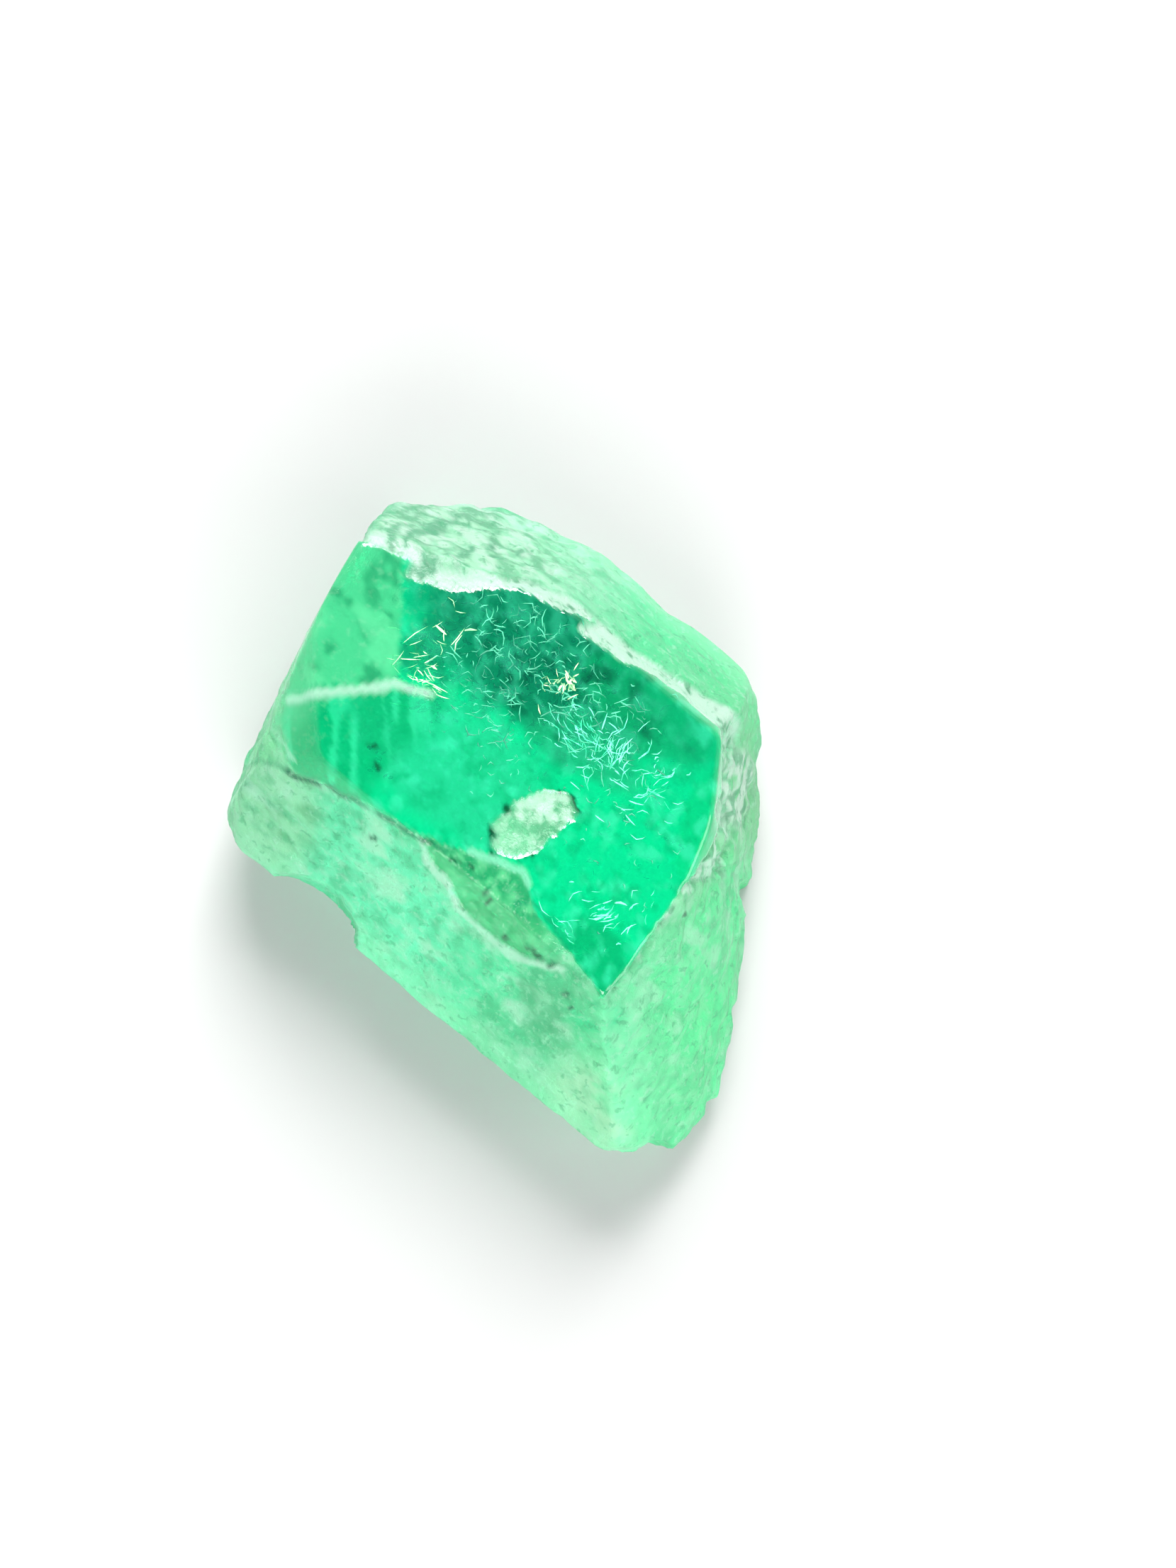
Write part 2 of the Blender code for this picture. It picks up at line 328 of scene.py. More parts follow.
def zone_masks(spots):
    """Where each part of the finish lies, worked out on points that noise has shifted a little."""
    wander = wobble(spots, 0.30, 3, 81)
    plan = spots[:, :2] + EDGE_WANDER * wander
    x, y = plan.T
    upper = ramp(spots[:, 2], *UPPER_HEIGHTS)
    above, below, before = gaps_to_outline(plan)
    clear = ramp(np.minimum(np.minimum(above, below), before), *SOFT)
    clear *= ramp(spots[:, 2] + HEIGHT_WANDER * wander[:, 0], *CLEAR_HEIGHTS)
    ledge = ramp(-above, *CRISP) * ramp(np.interp(x, *LEDGE_OUTSIDE.T) - y, -0.02, 0.04)
    ledge *= ramp(x, -5.3, -4.9) * (1 - ramp(x, 2.5, 2.8)) * upper
    ledge *= 1 - near_path(plan, LEDGE_BREAK, 0.10)
    lumps = fractal(spots, 0.35, 3, 101)
    rim_width = RIM_WIDTH + 0.03 * lumps + ramp(y, 0.1, 0.9) * (RIM_WIDTH_ABOVE + 0.30 * lumps)
    rim = ramp(-before, *CRISP) * (1 - ramp(-before, rim_width * 0.8, rim_width))
    rim *= ramp(y, -2.6, -2.4) * (1 - ramp(y, 2.9, 3.2)) * upper * ramp(x, 1.9, 2.3)
    chip_depth = depth_inside(spots[:, :2] + CHIP_WANDER * wander, CHIP_OUTLINE)
    chip = ramp(chip_depth, *CRISP) * upper
    chip_outside = ramp(chip_depth, -0.10, -0.06) * upper * (1 - chip)
    olive = ramp(-below, *SOFT) * ramp(y - np.interp(x, *OLIVE_SIDE.T), *SOFT)
    olive *= ramp(x, -0.8, -0.6) * (1 - ramp(x, 1.9, 2.9)) * upper
    return {
        "clear": clear * (1 - chip), "ledge": ledge, "rim": rim, "chip": chip, "chip_outside": chip_outside,
        "olive": olive, "upper": upper, "plan": plan,
    }


# The colours of the frosted sides, as stops along the crystal below and above its middle line
LOWER_BANDS = (
    (-4.0, (0.36, 0.90, 0.50)), (-2.2, (0.18, 0.98, 0.60)), (0.3, (0.20, 1.00, 0.63)),
    (2.0, (0.12, 0.90, 0.48)), (3.3, (0.09, 0.58, 0.29)), (4.6, (0.34, 0.96, 0.58)),
    (6.4, (0.17, 0.92, 0.44)),
)
UPPER_BANDS = (
    (-5.0, (0.74, 1.00, 0.80)), (-3.0, (0.58, 0.98, 0.70)), (-1.2, (0.30, 0.88, 0.54)),
    (0.0, (0.09, 0.82, 0.38)), (2.0, (0.12, 0.78, 0.35)), (3.4, (0.22, 0.78, 0.34)),
    (5.0, (0.18, 0.84, 0.40)),
)
# Patterns on the frosted sides, as lump size in mm, octaves, seed and the noise where they start and are full
GRAIN_STRETCH = (0.65, 1.0, 1.0)
LOBE_BLOTS = (0.45, 3, 105, 0.0, 0.6)
GREY_BLOTS = (0.75, 5, 111, 0.05, 0.75)
CLOUDS = (0.45, 4, 121, 0.10, 0.90)
CREST_PATCHES = (0.40, 3, 128, -0.3, 0.4)
APEX_HOLLOWS = (0.40, 3, 126, 0.62, 0.86)
APEX_SNOW = (0.30, 3, 127, 0.05, 0.6)
# A green patch, a grey one and the pale bottom of the lower flank, as paint_ovals takes them
FLANK_OVALS = (
    ((3.95, -2.85), (0.60, 0.45), 0, 0.8, 0.8, (0.02, 0.84, 0.40)),
    ((3.0, -3.25), (0.75, 0.28), -18, 0.8, 0.7, (0.09, 0.50, 0.26)),
    ((4.9, -3.95), (1.0, 0.5), -10, 0.8, 0.8, (0.80, 1.00, 0.78)),
)
CREST_PATH = ((3.9, -2.6), (5.93, -4.28))
CREST_WIDTH = 1.1
WEDGE_GREEN = (0.12, 0.98, 0.43)
LOBE_MINT = (0.52, 0.92, 0.60)
LOBE_OLIVE = (0.20, 0.56, 0.28)
BLOT_GREEN = (0.08, 0.58, 0.28)
CLOUD_MINT = (0.70, 1.00, 0.82)
CREST_GREEN = (0.26, 0.96, 0.54)
MOTTLE_DARK = (0.05, 0.50, 0.24)
MOTTLE_PALE = (0.60, 1.00, 0.74)
APEX_DARK = (0.10, 0.44, 0.24)
APEX_PALE = (0.84, 1.00, 0.90)
# A paler mint painted as glow along both far sides
EDGE_GLOW_MINT = (0.52, 0.96, 0.64)
# A darker green painted as shade low down and on the flat end
PAINTED_SHADE_GREEN = (0.09, 0.58, 0.30)


def flank_coat(spots):
    """The colours of the frosted sides: bands, then the wedge, the lobe, blots, clouds, mottle and apex, then
    painted glow on the far sides and painted shade low down and at the flat end.
    """
    x, y, z = spots.T
    seen = spots[:, :2]
    lower = band_colours(x, LOWER_BANDS)
    higher = band_colours(x, UPPER_BANDS)
    coat = lower + ramp(y, -1.8, 1.2)[:, None] * (higher - lower)
    wedge = ramp(x, 3.5, 4.3) * ramp(y, -3.2, -1.6)
    coat = paint(coat, wedge * (1 - ramp(y, 1.0, 2.5)), WEDGE_GREEN)
    coat = paint(coat, 0.8 * soft_oval(seen, (-3.3, -3.75), (1.1, 0.8)), LOBE_MINT)
    lobe_blots = patches(spots, *LOBE_BLOTS) * soft_oval(seen, (-3.2, -3.7), (1.2, 0.9))
    coat = paint(coat, 0.85 * lobe_blots, LOBE_OLIVE)
    stretched = spots * np.array(GRAIN_STRETCH)
    calm = (1 - 0.85 * ramp(x, -1.4, 0.0) * ramp(y, 1.5, 2.5)) * (1 - 0.35 * ramp(x, 3.0, 3.8))
    coat = paint(coat, 0.6 * patches(stretched, *GREY_BLOTS) * calm, BLOT_GREEN)
    coat = paint(coat, 0.8 * patches(stretched, *CLOUDS) * calm, CLOUD_MINT)
    coat = paint_ovals(coat, seen, FLANK_OVALS)
    crest = near_path(seen, CREST_PATH, CREST_WIDTH, 0.8)
    coat = paint(coat, 0.8 * crest * patches(spots, *CREST_PATCHES), CREST_GREEN)
    mottle = fractal(spots, 0.24, 3, 125)
    coat = paint(coat, 0.55 * calm * ramp(mottle, 0.05, 0.75), MOTTLE_DARK)
    coat = paint(coat, 0.45 * calm * ramp(-mottle, 0.05, 0.75), MOTTLE_PALE)
    apex = (1 - ramp(x, -3.2, -0.4)) * ramp(y, 1.0, 1.8)
    coat = paint(coat, 0.85 * apex * veins(spots, *APEX_HOLLOWS), APEX_DARK)
    coat = paint(coat, 0.85 * apex * patches(spots, *APEX_SNOW), APEX_PALE)
    # Painted light: a paler mint glow along both far sides
    coat = paint(coat, 0.5 * ramp(np.abs(y), 3.8, 4.3), EDGE_GLOW_MINT)
    # Painted shade: a darker green over the lower sides and the flat end
    under = (1 - ramp(z, 1.4, 2.2)) * (1 - ramp(x, 3.0, 3.8))
    shaded_low_and_end = np.maximum(under, 1 - ramp(x, -5.12, -4.98))
    return paint(coat, 0.65 * shaded_low_and_end, PAINTED_SHADE_GREEN)


# The clear face: a base green with ovals of painted shade laid over it in turn, as paint_ovals takes them
WINDOW_WANDER = 0.20
WINDOW_GREEN = (0.001, 0.84, 0.37)
WINDOW_SHADE_OVALS = (
    ((-1.1, -1.1), (2.1, 0.95), 5, 0.5, 1.0, (0.020, 0.74, 0.37)),
    ((-1.25, 1.45), (2.45, 1.25), 6, 0.5, 1.0, (0.002, 0.24, 0.13)),
    ((0.9, 2.05), (1.5, 0.75), 0, 0.5, 0.8, (0.004, 0.42, 0.18)),
    ((0.45, 0.7), (1.1, 0.55), 10, 0.5, 0.8, (0.012, 0.46, 0.22)),
    ((3.1, -1.95), (0.75, 0.6), -10, 0.5, 0.85, (0.001, 0.50, 0.20)),
    ((3.0, 1.0), (0.35, 1.0), 20, 0.5, 0.7, (0.001, 0.72, 0.28)),
    ((-2.82, 0.35), (0.42, 0.75), -10, 0.5, 0.85, (0.006, 0.32, 0.17)),
)
# Patterns in the clear face, as lump size in mm, octaves, seed and the noise where they start and are full
DEEP_BLOTS = (0.28, 3, 151, 0.15, 0.8)
DEEP_WISPS = (0.35, 3, 161, 0.68, 0.88)
MILK = (0.25, 3, 171, 0.05, 0.7)
SHADE = (0.22, 3, 175, 0.05, 0.7)
LEFT_BLOTS = (0.28, 3, 151, -0.05, 0.6)
LEFT_CLOUDS = (0.42, 4, 181, 0.0, 0.7)
STREAKS = (1.0, 2, 191, 0.0, 0.5)
STREAK_WIDTH = 0.16
STREAK_LENGTH = 1.1
DEEP_GREEN = (0.001, 0.12, 0.07)
WISP_GREEN = (0.04, 0.60, 0.36)
MILK_GREEN = (0.06, 0.98, 0.58)
SHADE_GREEN = (0.001, 0.50, 0.21)
LEFT_GREEN = (0.10, 0.78, 0.37)
LEFT_DARK = (0.04, 0.48, 0.22)
LEFT_PALE = (0.18, 0.96, 0.48)
STREAK_DARK = (0.001, 0.50, 0.20)
STREAK_PALE = (0.04, 0.84, 0.42)
CORNER_PALE = (0.17, 0.86, 0.46)
FAN_MINT = (0.55, 0.97, 0.75)
# The left part's lower right side and the line of the ridge, each as a point and the direction across it
LEFT_PLACE = (-3.54, 0.33)
LEFT_ACROSS = (-0.8, -0.6)
RIDGE_PLACE = (-2.75, -0.50)
RIDGE_ACROSS = (-0.659, 0.753)
PICTURE_RIGHT = (0.766, 0.643)
PICTURE_DOWN = (0.643, -0.766)


def window_coat(spots, plain):
    """The greens of the clear face with painted shade, most in its upper part, given the points' plan as well.
    """
    plan = spots[:, :2] + WINDOW_WANDER * wobble(spots, 0.9, 4, 131)
    # Painted shade: darker greens laid over the clear face in ovals
    coat = paint_ovals(plain_coat(spots, WINDOW_GREEN), plan, WINDOW_SHADE_OVALS)
    # Painted shade: the dark upper part, which also carries dark blots and lighter wisps
    deep = soft_oval(plan, (-0.9, 1.3), (2.7, 1.4), 6, 0.7)
    coat = paint(coat, 0.85 * patches(spots, *DEEP_BLOTS) * deep, DEEP_GREEN)
    coat = paint(coat, 0.60 * veins(spots, *DEEP_WISPS) * deep, WISP_GREEN)
    coat = paint(coat, 0.65 * patches(spots, *MILK) * (1 - deep), MILK_GREEN)
    coat = paint(coat, 0.6 * patches(spots, *SHADE) * (1 - deep), SHADE_GREEN)
    left = ramp((plain - np.array(LEFT_PLACE)) @ np.array(LEFT_ACROSS), -0.05, 0.06)
    beyond = ramp((plain - np.array(RIDGE_PLACE)) @ np.array(RIDGE_ACROSS), *CRISP)
    pale_face = paint(plain_coat(spots, LEFT_GREEN), patches(spots, *LEFT_BLOTS), LEFT_DARK)
    pale_face = paint(pale_face, 0.8 * patches(spots, *LEFT_CLOUDS), LEFT_PALE)
    coat += (left * beyond)[:, None] * (pale_face - coat)
    under = (1 - beyond) * (1 - ramp(plain[:, 0], -2.2, -1.7))
    across = plain @ np.array(PICTURE_RIGHT) / STREAK_WIDTH
    down = plain @ np.array(PICTURE_DOWN) / STREAK_LENGTH
    streaks = patches(np.stack((across, down, np.zeros(len(spots))), axis=-1), *STREAKS)
    coat = paint(coat, 0.8 * under * (1 - streaks), STREAK_DARK)
    coat = paint(coat, 0.75 * under * streaks, STREAK_PALE)
    outer = under * (1 - ramp(plain[:, 0], -4.2, -3.5))
    coat = paint(coat, 0.7 * outer, CORNER_PALE)
    fan = np.maximum(near_path(plain, ((-4.44, -2.45), (-3.46, -2.78)), 0.06),
                     near_path(plain, ((-4.36, -3.02), (-3.40, -2.78)), 0.05))
    return paint(coat, fan, FAN_MINT)


# Dark pits along the lower flank's upper edge as place, half length and turn, then blots by the apex
PITS = (
    ((-0.62, -2.46), 0.10, 10), ((0.00, -2.40), 0.13, 25), ((0.32, -2.30), 0.08, -20),
    ((0.77, -2.50), 0.09, -70), ((0.94, -2.58), 0.11, -60), ((1.58, -2.83), 0.06, 0),
    ((2.02, -2.72), 0.05, 40), ((2.12, -2.68), 0.06, -40), ((2.28, -2.72), 0.10, 10),
    ((2.55, -2.66), 0.09, 60), ((-1.40, -2.92), 0.07, 20), ((3.82, -0.35), 0.06, 80),
    ((3.10, -2.86), 0.07, 0), ((3.32, -2.98), 0.05, 50), ((-2.46, -1.74), 0.12, 30),
    ((-2.20, -1.95), 0.09, -10),
)
PIT_HALF_WIDTH = 0.045
APEX_BLOTS = (
    ((-4.70, 1.58), (0.32, 0.07), 100), ((-4.45, 1.70), (0.30, 0.06), 95), ((-3.98, 1.30), (0.30, 0.09), 85),
    ((-3.75, 1.48), (0.28, 0.10), 80), ((-4.30, 2.35), (0.55, 0.13), 75), ((-3.45, 2.20), (0.30, 0.06), 70),
    ((-3.25, 2.70), (0.20, 0.06), 95), ((-2.95, 2.55), (0.18, 0.05), 20), ((-2.75, 3.00), (0.12, 0.05), 60),
    ((-2.45, 2.85), (0.16, 0.04), 0), ((-3.60, 2.95), (0.18, 0.05), 40),
)
# The lines along the clear face's lower edge and the step beside the lobe, as paths seen from above
CRACK_PATH = ((-3.45, -2.98), (-3.17, -2.96), (-2.95, -2.86), (-2.62, -2.80), (-2.50, -2.68), (-1.90, -2.60))
SEAM_PATH = ((-2.50, -2.74), (-1.93, -2.66), (-0.76, -2.47), (-0.20, -2.36))
STEP_PATH = ((-4.35, -3.22), (-3.90, -3.10), (-3.45, -2.98))
BRIGHT_PATH = ((0.1, -2.06), (0.53, -1.90), (1.03, -1.72), (1.25, -1.86))
HAIR_PATH = ((1.33, -2.28), (1.60, -2.02), (2.04, -2.10), (2.56, -2.28))
OLIVE_EDGE_DROP = (0, -0.04)
# Patterns on the marks, as lump size in mm, octaves, seed and the noise where they start and are full
OLIVE_PATCHES = (0.2, 3, 201, -0.1, 0.6)
RIM_LUMPS = (0.40, 3, 215, -0.55, 0.0)
CRUMBS = (0.26, 2, 218, -0.5, 0.2)
CRUMB_GAPS = (0.28, 2, 219, 0.70, 0.84)
RIM_VEINS = (0.34, 2, 217, 0.72, 0.88)
SPECKS = (0.18, 2, 221, 0.50, 0.70)
CHIP_GRAIN = (0.20, 3, 213, -0.35, 0.45)
BROKEN_GAPS = (0.22, 2, 231, -0.15, 0.35)
CRACK_GAPS = (0.3, 2, 241, -0.5, 0.1)
SEAM_GAPS = (0.25, 2, 245, -0.6, 0.0)
OLIVE_GREEN = (0.06, 0.56, 0.23)
OLIVE_DARK = (0.02, 0.44, 0.18)
OLIVE_PALE = (0.16, 0.76, 0.36)
OLIVE_EDGE = (0.75, 1.00, 0.86)
# The white of the broken ledge, partly its own stone and partly a painted highlight
LEDGE_WHITE_AND_HIGHLIGHT = (0.86, 1.00, 0.92)
CRUMB_WHITE = (0.92, 1.00, 0.94)
CRUMB_DARK = (0.08, 0.42, 0.22)
VEIN_GREEN = (0.16, 0.62, 0.34)
SPECK_GREEN = (0.05, 0.32, 0.16)
CHIP_DARK = (0.10, 0.52, 0.26)
CHIP_WHITE = (0.72, 1.00, 0.82)
CHIP_HOLLOW = (0.16, 0.74, 0.38)
BROKEN_DARK = (0.002, 0.07, 0.035)
RIDGE_MINT = (0.66, 1.00, 0.82)
CRACK_DARK = (0.004, 0.14, 0.07)
SEAM_DARK = (0.006, 0.24, 0.12)
STEP_GREEN = (0.08, 0.44, 0.24)
BRIGHT_MINT = (0.36, 0.97, 0.68)
HAIR_GREEN = (0.01, 0.40, 0.20)
PIT_DARK = (0.004, 0.12, 0.06)
APEX_BLOT_GREEN = (0.09, 0.42, 0.24)


def skin_coat(spots, zones):
    """The whole crystal's colours: the frosted sides, the clear face and the marks along its edges."""
    plan = zones["plan"]
    upper = zones["upper"]
    coat = flank_coat(spots)
    coat += zones["clear"][:, None] * (window_coat(spots, plan) - coat)
    olive = paint(plain_coat(spots, OLIVE_GREEN), soft_oval(plan, (0.75, -2.18), (1.2, 0.32)), OLIVE_DARK)
    olive = paint(olive, patches(spots, *OLIVE_PATCHES), OLIVE_PALE)
    coat += zones["olive"][:, None] * (olive - coat)
    olive_edge = near_path(plan, [tuple(place + OLIVE_EDGE_DROP) for place in OLIVE_SIDE], 0.09) * upper
    coat = paint(coat, olive_edge * (1 - zones["olive"]), OLIVE_EDGE)
    # The ledge's white is partly its own broken stone and partly a painted highlight
    white = np.maximum(zones["ledge"], zones["rim"] * patches(spots, *RIM_LUMPS))
    coat = paint(coat, white, LEDGE_WHITE_AND_HIGHLIGHT)
    small_heap = soft_oval(plan, (2.52, 2.34), (0.30, 0.32))
    crumbs = np.maximum(small_heap, soft_oval(plan, (3.25, 2.45), (0.70, 0.72)))
    crumbs *= ramp(spots[:, 2], 1.7, 2.3) * (1 - zones["clear"])
    coat = paint(coat, crumbs * patches(spots, *CRUMBS), CRUMB_WHITE)
    coat = paint(coat, 0.8 * crumbs * veins(spots, *CRUMB_GAPS), CRUMB_DARK)
    coat = paint(coat, 0.8 * veins(spots, *RIM_VEINS) * zones["rim"], VEIN_GREEN)
    specks = patches(spots, *SPECKS) * np.maximum(white, zones["rim"])
    coat = paint(coat, 0.85 * specks, SPECK_GREEN)
    chip = paint(plain_coat(spots, CHIP_DARK), patches(spots, *CHIP_GRAIN), CHIP_WHITE)
    chip = paint(chip, 0.6 * soft_oval(plan, (0.50, -1.40), (0.50, 0.36)), CHIP_HOLLOW)
    coat += zones["chip"][:, None] * (chip - coat)
    coat = paint(coat, zones["chip_outside"] * patches(spots, *BROKEN_GAPS), BROKEN_DARK)
    coat = paint(coat, near_path(plan, RIDGE, 0.16, 0.7) * zones["clear"], RIDGE_MINT)
    crack = near_path(plan, CRACK_PATH, 0.075) * patches(spots, *CRACK_GAPS)
    coat = paint(coat, crack * upper, CRACK_DARK)
    seam = near_path(plan, SEAM_PATH, 0.08) * patches(spots, *SEAM_GAPS)
    coat = paint(coat, 0.9 * seam * upper, SEAM_DARK)
    coat = paint(coat, 0.6 * near_path(plan, STEP_PATH, 0.09), STEP_GREEN)
    coat = paint(coat, near_path(plan, BRIGHT_PATH, 0.14) * (1 - zones["chip"]) * upper, BRIGHT_MINT)
    coat = paint(coat, 0.8 * near_path(plan, HAIR_PATH, 0.05) * upper, HAIR_GREEN)
    pits = np.zeros(len(spots))
    for place, half_length, turn in PITS:
        pits = np.maximum(pits, soft_oval(plan, place, (half_length, PIT_HALF_WIDTH), turn, 0.8))
    coat = paint(coat, pits * upper, PIT_DARK)
    return paint_ovals(coat, plan, [(*blot, 0.5, 0.9, APEX_BLOT_GREEN) for blot in APEX_BLOTS])


# How deep each kind of relief is cut, in mm, how its pattern is stretched along the crystal, and how much
# haze the left of the clear face has and how much polish the olive patch has
CLEAVED_STRETCH = (0.25, 1.0, 1.0)
HACKLE_CREST = 0.24
HACKLE_GRAIN = 0.06
HACKLE_LEVEL = 0.17
GROWTH_GRAIN = 0.040
GROWTH_HOLLOW = 0.09
CLEAR_WAVE = 0.003
LEDGE_DEPTH = 0.07
LEDGE_STEP = 0.035
LEDGE_STRETCH = (0.6, 1.0, 1.0)
LEDGE_GRAIN = 0.02
RIM_DEPTH = 0.26
CHIP_DEPTH = 0.02
CHIP_LUMPS = 0.10
OLIVE_DEPTH = 0.04
OLIVE_LUMPS = 0.02
LEFT_HAZE = 0.30
OLIVE_POLISH = 0.5


def crystal_surface():
    """The crystal's points in mm, how frosted each is, and its colour."""
    rays = ray_directions()
    reach, shares, finishes, names = reach_faces(rays)
    reach, scooped = scoop_out(rays, reach)
    spots = HEART + rays * reach[:, None]
    zones = zone_masks(spots)
    broken = np.maximum(shares[:, finishes == "broken"].sum(axis=1), scooped)
    frosted = shares[:, finishes == "frosted"].sum(axis=1) * (1 - scooped)
    resting = shares[:, names.index("back face")]
    striped = spots * np.array(CLEAVED_STRETCH)
    hackle = HACKLE_CREST * ridged(spots, 0.95, 4, 11) + HACKLE_GRAIN * (1 + fractal(spots, 0.35, 2, 31))
    growth = GROWTH_GRAIN * (1 + fractal(striped, 0.30, 3, 51))
    growth += GROWTH_HOLLOW * np.clip(fractal(spots, 0.8, 3, 61), 0, 1)
    clear = zones["clear"]
    relief = (broken * (hackle - HACKLE_LEVEL) + frosted * growth) * (1 - clear)
    relief += clear * (SKIN_DEPTH + CLEAR_WAVE * fractal(striped, 0.6, 2, 71))
    steps = np.floor(2 * fractal(spots * np.array(LEDGE_STRETCH), 0.5, 2, 251)) / 2
    relief += zones["ledge"] * (LEDGE_DEPTH + LEDGE_STEP * steps + LEDGE_GRAIN * ridged(spots, 0.2, 2, 261))
    relief += zones["rim"] * RIM_DEPTH * (1 - ridged(spots, 0.42, 2, 271))
    relief += zones["chip"] * (CHIP_DEPTH + CHIP_LUMPS * ridged(spots, 0.34, 3, 281))
    relief += zones["olive"] * (OLIVE_DEPTH + OLIVE_LUMPS * ridged(spots, 0.3, 3, 291))
    relief -= near_path(zones["plan"], RIDGE, 0.15) * clear * SKIN_DEPTH
    relief *= 1 - resting
    points = HEART + rays * (reach - np.clip(relief, 0, None))[:, None]
    points[:, 2] = np.clip(points[:, 2], 0, None)
    haze = LEFT_HAZE * (1 - ramp(spots[:, 0], -4.0, -2.6))
    frost = 1 - clear * (1 - haze) - OLIVE_POLISH * zones["olive"]
    return points, frost, skin_coat(spots, zones)


def ring_faces():
    """Quads between neighbouring rings, and a fan of triangles round each pole."""
    first = np.arange(ROUND)
    after = (first + 1) % ROUND
    rows = np.arange(RINGS - 1)[:, None] * ROUND
    quads = np.stack((rows + first, rows + after, rows + ROUND + after, rows + ROUND + first), axis=-1)
    top = RINGS * ROUND
    last = (RINGS - 1) * ROUND
    start_fan = np.stack((np.full(ROUND, top), after, first), axis=-1)
    end_fan = np.stack((np.full(ROUND, top + 1), last + first, last + after), axis=-1)
    return quads.reshape(-1, 4)[:, ::-1].tolist() + start_fan[:, ::-1].tolist() + end_fan[:, ::-1].tolist()


def to_frame(points):
    """Millimetres about the crystal's own middle, turned into metres in the frame."""
    return (points - OUTLINE_MIDDLE) * MM


def new_piece(name, points, faces):
    """A smooth-shaded mesh object of that name at the origin, linked into the scene."""
    mesh = bpy.data.meshes.new(name)
    mesh.from_pydata(points, [], faces)
    mesh.polygons.foreach_set("use_smooth", np.full(len(mesh.polygons), True))
    mesh.update()
    piece = bpy.data.objects.new(name, mesh)
    bpy.context.scene.collection.objects.link(piece)
    return piece


def keep_frost(piece, frost):
    """Keep how frosted each point is, for the material to read."""
    attribute = piece.data.attributes.new("frost", "FLOAT", "POINT")
    attribute.data.foreach_set("value", np.ascontiguousarray(frost, dtype=np.float32))


def keep_coat(piece, coat):
    """Keep each point's colour, for the material to read."""
    attribute = piece.data.attributes.new("coat", "FLOAT_COLOR", "POINT")
    rgba = np.concatenate((np.clip(coat, 0, 1), np.ones((len(coat), 1))), axis=1)
    attribute.data.foreach_set("color", np.ascontiguousarray(rgba, dtype=np.float32).ravel())


# The colour sockets of Blender's mix node, by number because its socket names repeat
MIX_FIRST = 6
MIX_SECOND = 7
MIX_RESULT = 2


def node_of(tree, kind, place=(0, 0), **settings):
    """A shader node at a place in its tree, with its settings made."""
    node = tree.nodes.new(kind)
    node.location = place
    for key, value in settings.items():
        setattr(node, key, value)
    return node


def noise_of(tree, source, size_mm, detail, roughness, distortion=0.0):
    """Blender's noise on the object's own coordinates, with lumps of that size."""
    noise = node_of(tree, "ShaderNodeTexNoise")
    noise.inputs["Scale"].default_value = 1 / (size_mm * MM)
    noise.inputs["Detail"].default_value = detail
    noise.inputs["Roughness"].default_value = roughness
    noise.inputs["Distortion"].default_value = distortion
    tree.links.new(source, noise.inputs["Vector"])
    return noise.outputs["Fac"]


def spread(tree, source, low, high, to_low=0.0, to_high=1.0):
    """Stretch the values between low and high to a new range, held at its ends."""
    node = node_of(tree, "ShaderNodeMapRange", interpolation_type="SMOOTHSTEP")
    for socket, value in (("From Min", low), ("From Max", high), ("To Min", to_low), ("To Max", to_high)):
        node.inputs[socket].default_value = value
    tree.links.new(source, node.inputs["Value"])
    return node.outputs["Result"]


def blend_of(tree, share, first, second):
    """Mix two colours by a share, the first a socket or an RGB triple and the second a triple."""
    node = node_of(tree, "ShaderNodeMix", data_type="RGBA")
    tree.links.new(share, node.inputs["Factor"])
    if isinstance(first, tuple):
        node.inputs[MIX_FIRST].default_value = (*first, 1)
    else:
        tree.links.new(first, node.inputs[MIX_FIRST])
    node.inputs[MIX_SECOND].default_value = (*second, 1)
    return node.outputs[MIX_RESULT]


def share_of(tree, first, second):
    """The product of two values."""
    node = node_of(tree, "ShaderNodeMath", operation="MULTIPLY")
    tree.links.new(first, node.inputs[0])
    tree.links.new(second, node.inputs[1])
    return node.outputs[0]


# The grain of the frost, how far its pale and dark flecks cover, and how it scatters light
GRAIN_SIZE = 0.16
FLECK_SIZE = 0.20
MOST_SNOW = 0.55
MOST_DOTS = 0.60
ROUGHNESS_RANGE = (0.03, 0.42)
BUMP_RANGE = (0.03, 0.9)
CLEARNESS = 0.72
FROST_SNOW = (0.66, 1.00, 0.80)
FROST_DOTS = (0.05, 0.44, 0.21)
BERYL_IOR = 1.577
BUMP_HEIGHT = 0.06 * MM
DEPTH_GREEN = (0.0, 0.96, 0.84, 1)
DEPTH_DENSITY = 190.0


